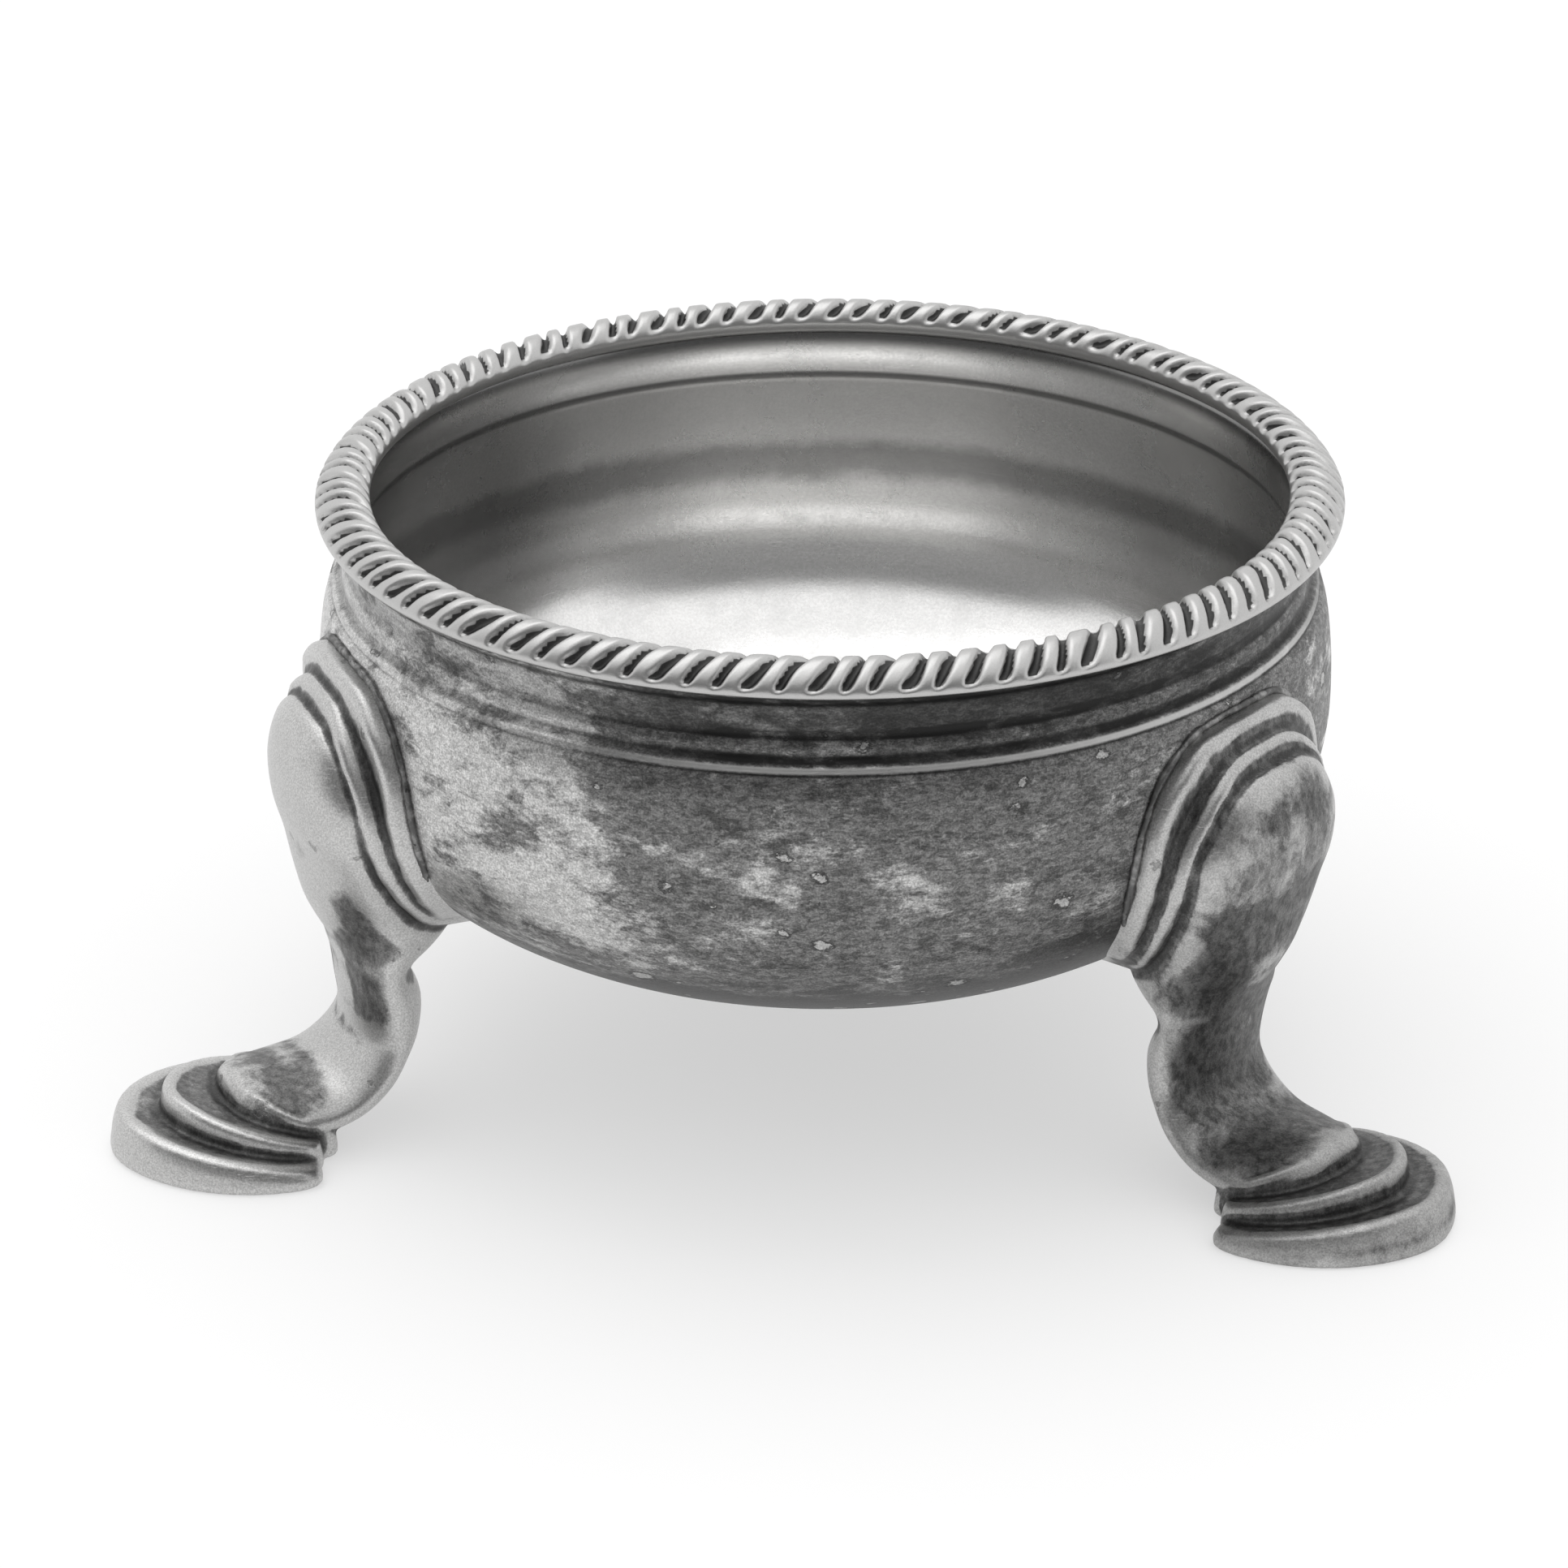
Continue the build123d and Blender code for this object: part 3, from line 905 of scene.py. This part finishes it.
def tarnish_group():
    """Clouds of tarnish in three sizes; more where Hollow and Bias ask for it."""
    group, given, made = effect_group(
        "tarnish_clouds",
        {"Place": None, "Size": 5.0, "Cover": 0.5, "Edge": 0.12, "Hollow": 0.5,
         "Hollow pull": 0.8, "Bias": 0.0},
        ("Mask", "Clouds"),
    )
    place, scale, edge = given["Place"], 1.0 / given["Size"], given["Edge"]
    clouds = noise(place, scale, 3.0, 0.5, 0.6)
    ragged = noise(place, scale * 4.3, 6.0, 0.68, 0.5)
    grain = noise(place, scale * 26.0, 3.0, 0.7)
    mixed = clouds * 0.5 + (ragged * 0.38 + grain * 0.12)
    pull = (given["Hollow"] - 0.5) * given["Hollow pull"]
    level = mixed + (pull + given["Bias"] * 0.4)
    threshold = 0.72 - given["Cover"] * 0.44
    feed(made["Mask"], ramp(level, threshold - edge, threshold + edge))
    feed(made["Clouds"], mixed)
    return group


def wear_group():
    """Fine rubbing lines in two directions, and a soft grain."""
    inputs = {"Place": None, "Fineness": 1.0, "Amount": 1.0}
    group, given, made = effect_group("handling_wear", inputs, ("Lines", "Grain", "Height"))
    place, fineness = given["Place"], given["Fineness"]
    flat = noise(stretched(place, (1.0, 1.0, 14.0)), fineness * 0.55, 3.0, 0.6)
    steep = noise(stretched(place, (9.0, 9.0, 1.2)), fineness * 0.5, 3.0, 0.6)
    both = ramp(flat, 0.6, 0.74) + ramp(steep, 0.63, 0.76)
    lines = sums("MULTIPLY", both, given["Amount"], clamp=True)
    grain = noise(place, fineness * 5.5, 2.0, 0.6)
    feed(made["Lines"], lines)
    feed(made["Grain"], grain)
    feed(made["Height"], grain * 0.35 - lines * 0.3)
    return group


def pits_group():
    """Scattered pits and raised flecks with a dark outline, of uneven size."""
    inputs = {"Place": None, "Spacing": 1.6, "Share": 0.3}
    group, given, made = effect_group("pits_and_flecks", inputs, ("Fleck", "Outline", "Height"))
    place = given["Place"]
    inputs = {"Vector": place, "Scale": 1.6, "Detail": 4.0, "Roughness": 0.7}
    bend = from_node(group, "ShaderNodeTexNoise", inputs, "Color")
    inputs = {0: bend, 1: (1.5, 1.5, 1.5), 2: place}
    bent = from_node(group, "ShaderNodeVectorMath", inputs, operation="MULTIPLY_ADD")
    inputs = {"Vector": bent, "Scale": 1.0 / given["Spacing"]}
    cells = wires(add_node(group, "ShaderNodeTexVoronoi", inputs, feature="F1").outputs)
    chance = add_node(group, "ShaderNodeSeparateColor", {0: cells["Color"]}).outputs
    chosen = sums("LESS_THAN", Wire(chance[0]), given["Share"])
    near = cells["Distance"] / (Wire(chance[1]) * 0.22 + 0.10)
    fleck = ramp(near, 1.0, 0.75) * chosen
    outline = (ramp(near, 0.8, 1.0) * ramp(near, 1.5, 1.15)) * chosen
    feed(made["Fleck"], fleck)
    feed(made["Outline"], outline)
    feed(made["Height"], fleck - outline)
    return group


tarnish_clouds, handling_wear, pits_and_flecks = tarnish_group(), wear_group(), pits_group()
print("effect groups:", [group.name for group in (tarnish_clouds, handling_wear, pits_and_flecks)])

# %% [markdown]
# ## One way to build a silver
# Every silver here is mixed from the same few numbers: how bright the clean metal and the tarnish
# are, and how much tarnish lies where. Tarnish is a thin film of silver sulphide, so where it lies
# the metal is darker and rougher. Some masks also paint shade, highlights and reflections into the
# colour. A shade starts as a mix of two greys, and more greys are laid over it one after the other,
# each through its own mask.

# %% Silver


def use_group(group, place, **values):
    """Puts a group in the tree of place; hollow_pull=1 feeds its input "Hollow pull"."""
    inputs = {name.replace("_", " ").capitalize(): value for name, value in values.items()}
    inputs["Place"] = place
    return wires(add_node(place.tree, "ShaderNodeGroup", inputs, node_tree=group).outputs)


def attribute(place, name, output="Fac"):
    return from_node(place.tree, "ShaderNodeAttribute", output=output, attribute_name=name)


def grey_mix(factor, low, high):
    """A colour between two greys or colours. The greys are a touch warm."""
    node = add_node(factor.tree, "ShaderNodeMix", {0: factor}, data_type="RGBA")
    for key, grey in ((6, low), (7, high)):
        if not isinstance(grey, Wire):
            grey = (grey, grey * 0.995, grey * 0.985, 1.0)
        feed(node.inputs[key], grey)
    return Wire(node.outputs[2])


def layered(shade, *layers):
    """Lays greys over a colour, one after the other; each layer is a mask and a grey."""
    for mask, grey in layers:
        shade = grey_mix(mask, shade, grey)
    return shade


def grained(colour, wear, strength):
    """Darkens and lightens a colour a little with the grain."""
    factor = ramp(wear["Grain"], 0.28, 0.72, 1.0 - strength, 1.0 + strength)
    inputs = {0: 1.0, 6: colour, 7: combined(factor, factor, factor)}
    settings = {"data_type": "RGBA", "blend_type": "MULTIPLY"}
    return from_node(colour.tree, "ShaderNodeMix", inputs, 2, **settings)


def begin(material):
    """Starts a material; returns the object's own coordinates in millimetres."""
    material.use_nodes = True
    place = from_node(material.node_tree, "ShaderNodeTexCoord", output="Object")
    inputs = {0: place, "Scale": 1000.0}
    return from_node(place.tree, "ShaderNodeVectorMath", inputs, operation="SCALE")


def dress(material, colour, roughness, height, height_scale):
    """Feeds the Principled shader of a silver; height_scale is in mm."""
    inputs = {"Height": height, "Distance": height_scale * MM, "Strength": 1.0}
    bump = from_node(colour.tree, "ShaderNodeBump", inputs)
    shader = material.node_tree.nodes["Principled BSDF"]
    feed(shader.inputs["Base Color"], colour)
    feed(shader.inputs["Roughness"], roughness)
    feed(shader.inputs["Metallic"], 1.0)
    feed(shader.inputs["Normal"], bump)
    print(material.name, "has", len(material.node_tree.nodes), "nodes")


# %% [markdown]
# ## The outside of the bowl
# The belly has the heaviest tarnish: a smoky grey ground, brighter clouds that gather towards the
# left, dark spots, and bright flecks with dark outlines that grow in number downwards. It is darker
# towards the bottom, and painted shade darkens its lower right beside the right leg. The neck has
# bands of painted shade and reflection in its mouldings, mixed with tarnish and strongest in front,
# a painted shadow under the border, and a painted highlight on one edge.

# %% Outside of the bowl
place = begin(tarnished_silver)
side, front, high = split(place)
drop = high - border_seat
to_left = ramp(side, -2.0, -16.0)
to_bottom = ramp(drop, -19.5, -24.0)
# Painted shade on the lower right of the belly, beside the right leg
shaded_lower_right = ramp(side, 6.0, 20.0) * ramp(drop, -15.0, -22.0)
to_front = ramp(side, -14.0, 0.0) * ramp(front, 5.0, -10.0)
# The bias lightens the belly towards the left, darkens it towards the bottom, and adds the painted
# shade at the lower right
bias = to_left * -0.3 + (to_bottom * 0.62 + shaded_lower_right * 0.5)
ground = use_group(
    tarnish_clouds, stretched(place, (1.0, 1.0, 1.9)), size=7.0, cover=0.69, edge=0.06, bias=bias
)
spots = use_group(
    tarnish_clouds, stretched(place, (1.0, 1.0, 2.4)), size=3.2, cover=0.36, edge=0.05, bias=bias
)
wear = use_group(handling_wear, place, fineness=1.4, amount=0.7)
flecked = ramp(drop, -13.0, -21.0, 0.16, 0.36)
flecks = use_group(
    pits_and_flecks, stretched(place, (1.0, 1.0, 1.5)), spacing=2.3, share=flecked
)
smoky = noise(stretched(place, (1.0, 1.0, 2.2)), 1.5, 5.0, 0.7, 0.8)
dull = grey_mix(ramp(smoky, 0.36, 0.66), 0.11, 0.27)
bright = grey_mix(ramp(smoky, 0.36, 0.62), 0.42, 0.62)
shade = layered(
    grey_mix(ground["Mask"], bright, dull),
    (spots["Mask"] * 0.85, 0.075),
    (wear["Lines"] * 0.35, 0.46),
    (flecks["Outline"] * 0.7, 0.06),
    (flecks["Fleck"] * 0.85, 0.52),
)
shade = grey_mix(to_bottom * 0.45, grained(shade, wear, 0.3), 0.06)

# Painted shade and reflection bands in the mouldings of the neck, mixed with tarnish, and a painted
# shadow under the border: height over the border's seat, and darkness
neck_shade_bands = [
    (-5.55, 0.0), (-5.42, 0.85), (-5.3, 0.1), (-5.15, 0.0), (-4.95, 0.0), (-4.75, 0.95),
    (-4.45, 0.9), (-4.2, 0.42), (-3.6, 0.38), (-3.4, 0.97), (-3.0, 0.97), (-2.7, 0.78),
    (-1.5, 0.74), (-1.1, 0.85), (-0.6, 0.97), (0.0, 0.97),
]
neck_foot = -6.0
inputs = {"Value": drop, "From Min": neck_foot, "From Max": 0.0}
neck_share = from_node(drop.tree, "ShaderNodeMapRange", inputs)
neck = add_node(drop.tree, "ShaderNodeValToRGB", {0: neck_share})
bands = neck.color_ramp
bands.interpolation = "EASE"
bands.elements.remove(bands.elements[-1])
bands.elements[0].position = 0.0
bands.elements[0].color = (0, 0, 0, 1)
for height, tone in neck_shade_bands:
    bands.elements.new((height - neck_foot) / -neck_foot).color = (tone, tone, tone, 1)
neck_cloud = use_group(
    tarnish_clouds, stretched(place, (1.0, 1.0, 2.6)), size=3.5, cover=0.55, edge=0.14
)
# The painted bands are strongest in front and mottled by a tarnish cloud
neck_strength = (to_front * 0.5 + 0.29) + neck_cloud["Mask"] * 0.36
# A painted highlight on the edge of the shoulder, strongest in front
painted_edge_highlight = ramp(drop, -5.35, -5.2) * ramp(drop, -4.9, -5.02)
shade = layered(
    shade,
    (Wire(neck.outputs[0]) * neck_strength, 0.028),
    (painted_edge_highlight * (to_front * 0.7 + 0.15), 0.6),
)
rough = ramp(ground["Mask"], 0.0, 1.0, 0.34, 0.46)
relief = flecks["Height"] * 0.7 + (wear["Height"] + ground["Clouds"] * 1.2)
dress(tarnished_silver, shade, rough, relief, 0.03)

# %% [markdown]
# ## The inside of the bowl
# Inside, salt was wiped out for years, so the silver is bright and satin, with soft clouds of haze
# and a faint turned ring on the floor. A wavering darker band on the wall and the darker sides are
# painted reflections. The corner under the border carries a painted shadow, and the crease of the
# neck is darker too.

# %% Inside of the bowl
place = begin(well_silver)
side, front, high = split(place)
drop = high - border_seat
reach = sums("SQRT", side * side + front * front)
haze = use_group(tarnish_clouds, place, size=11.0, cover=0.42, edge=0.2)
wear = use_group(handling_wear, place, fineness=1.0, amount=0.5)
on_floor = ramp(drop, -19.5, -24.5)
# Painted dark reflection on both sides of the wall
dark_reflection_at_sides = ramp(abs(side - 1.0), 20.5, 26.5)
# Painted dark reflection: a wavering band on the wall
band_level = drop + (haze["Clouds"] - 0.5) * 3.0
reflected_band = ramp(band_level, -12.2, -10.6) * ramp(band_level, -8.0, -9.4)
floor_ring = ramp(reach, 10.3, 10.8) * ramp(reach, 11.5, 11.0)
crease = ramp(drop, -3.75, -3.35) * ramp(drop, -2.8, -3.1)
# Painted shadow under the border; the crease of the neck is darker too
shadow_under_border = ramp(drop, -1.3, -0.5)
shade = layered(
    grey_mix(haze["Mask"], 0.96, 0.84),
    (on_floor * 0.7, 0.42),
    (dark_reflection_at_sides * 0.6, 0.2),
    (reflected_band * 0.6, 0.2),
)
shade = layered(
    grained(shade, wear, 0.06),
    (floor_ring * 0.22, 0.3),
    (sums("MAXIMUM", crease * 0.75, shadow_under_border * 0.85), 0.12),
)
rough = ramp(haze["Mask"], 0.0, 1.0, 0.23, 0.33)
dress(well_silver, shade, rough, wear["Height"] + haze["Clouds"], 0.012)

# %% [markdown]
# ## The border
# Fingers and cloths polish the lobes, so little tarnish lies on them. The slots between them are
# almost black, with tarnish and painted shade, and the lobes' corners carry a painted highlight.
# The attribute hollow says which is which. It is measured here in the same way as on the legs, with
# reaches that fit this finer mesh.

# %% Border silver
store_hollows(border.data, MM, (4, 14), (0.012, 0.05))
place = begin(border_silver)
hollow = attribute(place, "hollow")
film = use_group(
    tarnish_clouds, place, size=2.4, cover=0.16, edge=0.12, hollow=hollow, hollow_pull=0.9
)
wear = use_group(handling_wear, place, fineness=2.0, amount=0.5)
shade = grey_mix(film["Mask"] * 0.8, 0.46, 0.15)
# Darker in the slots: tarnish and painted shade
shade = grained(grey_mix(ramp(hollow, 0.42, 0.8), shade, 0.07), wear, 0.1)
# Painted highlight on the lobes' corners
shade = grey_mix(ramp(hollow, 0.22, 0.04, 0.0, 0.5), shade, 0.6)
rough = ramp(hollow, 0.4, 0.9, 0.36, 0.5)
dress(border_silver, shade, rough, wear["Height"] + film["Clouds"], 0.02)

# %% [markdown]
# ## The legs
# A casting keeps a fine grain. The tarnish follows the attribute hollow into the creases between
# plates and hoof layers, painted shade darkens the deepest creases further, and the corners get a
# painted highlight. A few large dark patches lie where they are on the real legs: a long pointed
# one on each side of the shank, and one on the instep. Between them a clean oval crosses the ankle,
# and the right leg is duller than the left one.

# %% Cast silver
place = begin(cast_silver)
out_from_axis, across, high = split(attribute(place, "casting_place", "Vector"))
hollow = attribute(place, "hollow")
beside = abs(across)
wobble = (noise(place, 0.45) - 0.5) * 2.2

# The pointed patch: a triangle with its point up, then a band down to the ankle
slant = 34.4 - (18.9 - high) * 0.84
patch_back = sums("MAXIMUM", slant, ramp(high, 13.9, 12.7, 29.6, 31.0))
patch_front = ramp(high, 8.0, 19.0, 33.2, 34.6)
rough_place = out_from_axis + wobble * 0.35
patch = ramp(rough_place - patch_back, -0.4, 0.9) * ramp(patch_front - rough_place, -0.6, 0.7)
patch = patch * (ramp(high + wobble, 7.6, 9.6) * ramp(beside, 1.2, 2.6))

# The clean oval above the instep, on both sides of the ankle, leans forward as it goes down
forward, upward = out_from_axis - 33.1, high - 5.9
along_oval = (forward * 0.6 + upward * -0.8) / 2.6
across_oval = (forward * 0.8 + upward * 0.6) / 1.2
oval = sums("POWER", abs(along_oval), 2.0) + sums("POWER", abs(across_oval), 2.0)
clean_oval = ramp(oval + wobble * 0.45, 2.0, 0.3)

ankle = ramp(high, 10.5, 7.5) * ramp(high, 2.4, 3.8)
on_hoof = ramp(high, 5.2, 2.8)
inputs = {0: combined(out_from_axis, beside, high), 1: (38.9, 2.3, 4.2)}
to_instep = from_node(
    place.tree, "ShaderNodeVectorMath", inputs, "Value", operation="DISTANCE"
)
instep = ramp(to_instep + wobble, 3.2, 1.2)
duller_leg = ramp(split(place)[0], 4.0, 14.0)
on_foot = on_hoof * (duller_leg * 0.35 + 0.16) + ankle * 0.25
bias = (patch + clean_oval * -0.7) + (on_foot + (duller_leg * 0.62 + instep * 0.6))
film = use_group(
    tarnish_clouds, stretched(place, (1.0, 1.0, 0.8)), size=3.6, cover=0.31, edge=0.11,
    hollow=hollow, hollow_pull=0.55, bias=bias,
)
wear = use_group(handling_wear, place, fineness=1.6, amount=0.6)
pits = use_group(pits_and_flecks, place, spacing=1.7, share=0.12)
fine = ramp(noise(stretched(place, (1.0, 1.0, 0.6)), 1.6, 6.0, 0.72), 0.34, 0.66)
film_tone = grey_mix(duller_leg, grey_mix(fine, 0.09, 0.24), grey_mix(fine, 0.05, 0.18))
clean_tone = grey_mix(duller_leg, 0.50, 0.37)
ragged_hollow = hollow + (film["Clouds"] - 0.5) * 0.9
shade = layered(
    grey_mix(film["Mask"] * 0.94, clean_tone, film_tone),
    (wear["Lines"] * 0.25, 0.4),
    # Painted shade in the deepest creases
    (ramp(ragged_hollow, 0.78, 1.06, 0.0, 0.9), 0.05),
    # Painted highlight on the corners
    (ramp(ragged_hollow, 0.26, 0.0, 0.0, 0.6), 0.58),
    (pits["Fleck"] * 0.45, 0.1),
)
rough = ramp(film["Mask"], 0.0, 1.0, 0.36, 0.48)
relief = (wear["Height"] + film["Clouds"]) - pits["Fleck"] * 0.8
dress(cast_silver, grained(shade, wear, 0.22), rough, relief, 0.03)

# %% [markdown]
# ## The solder's skin
# Solder froze with a dull, pitted skin that nobody ever polished, so it is the same effect groups
# with the tarnish turned up.

# %% Solder silver
place = begin(silver_solder)
film = use_group(tarnish_clouds, place, size=1.6, cover=0.62, edge=0.12)
pits = use_group(pits_and_flecks, place, spacing=0.6, share=0.5)
shade = layered(grey_mix(film["Mask"], 0.42, 0.12), (pits["Fleck"] * 0.8, 0.05))
dress(silver_solder, shade, 0.46, film["Clouds"] - pits["Fleck"], 0.05)

# %% [markdown]
# ## Floor
# The salt stands on a white table. A white surface that is only lit comes out a little grey, so a
# share of plain light is mixed in where the camera or the silver sees it. It doesn't light
# anything, so the shadow stays.

# %% Floor
floor_mesh = bpy.data.meshes.new("table_top")
floor_mesh.from_pydata([(-3, -3, 0), (3, -3, 0), (3, 3, 0), (-3, 3, 0)], [], [(0, 1, 2, 3)])
floor = in_scene("table_top", floor_mesh)
white_table = bpy.data.materials.new("white_table")
white_table.use_nodes = True
tree = white_table.node_tree
cloth = tree.nodes["Principled BSDF"]
cloth.inputs["Base Color"].default_value = (0.97, 0.97, 0.97, 1)
cloth.inputs["Roughness"].default_value = 1.0
cloth.inputs["Specular IOR Level"].default_value = 0.0
plain_light = 0.5
seen_by = wires(add_node(tree, "ShaderNodeLightPath").outputs)
seen = sums("MAXIMUM", seen_by["Is Camera Ray"], seen_by["Is Glossy Ray"])
glow = from_node(tree, "ShaderNodeEmission", {"Color": (1, 1, 1, 1), "Strength": 1.0})
inputs = {0: seen * plain_light, 1: Wire(cloth.outputs[0]), 2: glow}
lifted = from_node(tree, "ShaderNodeMixShader", inputs)
feed(tree.nodes["Material Output"].inputs["Surface"], lifted)
floor_mesh.materials.append(white_table)
print("floor of", floor.dimensions[0], "m")

# %% [markdown]
# ## World
# The world is a white tent: white all round, and darker only low down behind the camera, where the
# tent is open. Silver shows what is round it, so this dark side is what draws the shapes. Only the
# reflections see it. The floor is lit as if the tent were closed.

# %% World
world = bpy.data.worlds.new("white_tent")
bpy.context.scene.world = world
world.use_nodes = True
tree = world.node_tree
open_side_tone = 0.22
_, to_back, upward = split(from_node(tree, "ShaderNodeTexCoord", output="Generated"))
opening = ramp(to_back * -1.0, 0.15, 0.6) * ramp(upward, 0.88, 0.6)
opening = opening * from_node(tree, "ShaderNodeLightPath", output="Is Glossy Ray")
background = tree.nodes["Background"]
background.inputs[0].default_value = (1, 1, 1, 1)
feed(background.inputs[1], ramp(opening, 0.0, 1.0, 1.0, open_side_tone))
print("tent open behind the camera:", open_side_tone, "of white")

# %% [markdown]
# ## Lamp
# One large soft box hangs over the salt, a little to the left and behind. Its place is a guess
# from the soft shadow between the real legs. A small lamp would draw hard edges instead.

# %% Lamp
lamp_data = bpy.data.lights.new("soft_box", "AREA")
lamp_data.shape = "RECTANGLE"
lamp_data.size = 0.5
lamp_data.size_y = 0.4
lamp_data.energy = 0.6
lamp = in_scene("soft_box", lamp_data)
tilts = Matrix.Rotation(math.radians(-12), 4, "X") @ Matrix.Rotation(math.radians(-10), 4, "Y")
lamp.matrix_world = Matrix.Translation((-0.10, 0.12, 0.55)) @ tilts
print("lamp of", round(lamp_data.energy, 2), "W at", lamp.matrix_world.translation[:])

# %% [markdown]
# ## Putting the pieces in place
# Each piece rides on the body it belongs to, and the imported node that it takes the place of is
# hidden, so that nothing is drawn twice.

# %% Pieces
pieces = [(bowl, "bowl"), (border, "gadrooned_border")]
pieces += [(leg, node) for node, leg in legs.items()]
pieces += [(run, node) for node, run in solder.items()]
slots = {"bowl": "tarnished_silver", "gadrooned_border": "border_silver"}
for piece, node in pieces:
    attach(piece, "root")
    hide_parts(node)
    slots.get(node, "silver_solder" if "solder" in node else "cast_silver")
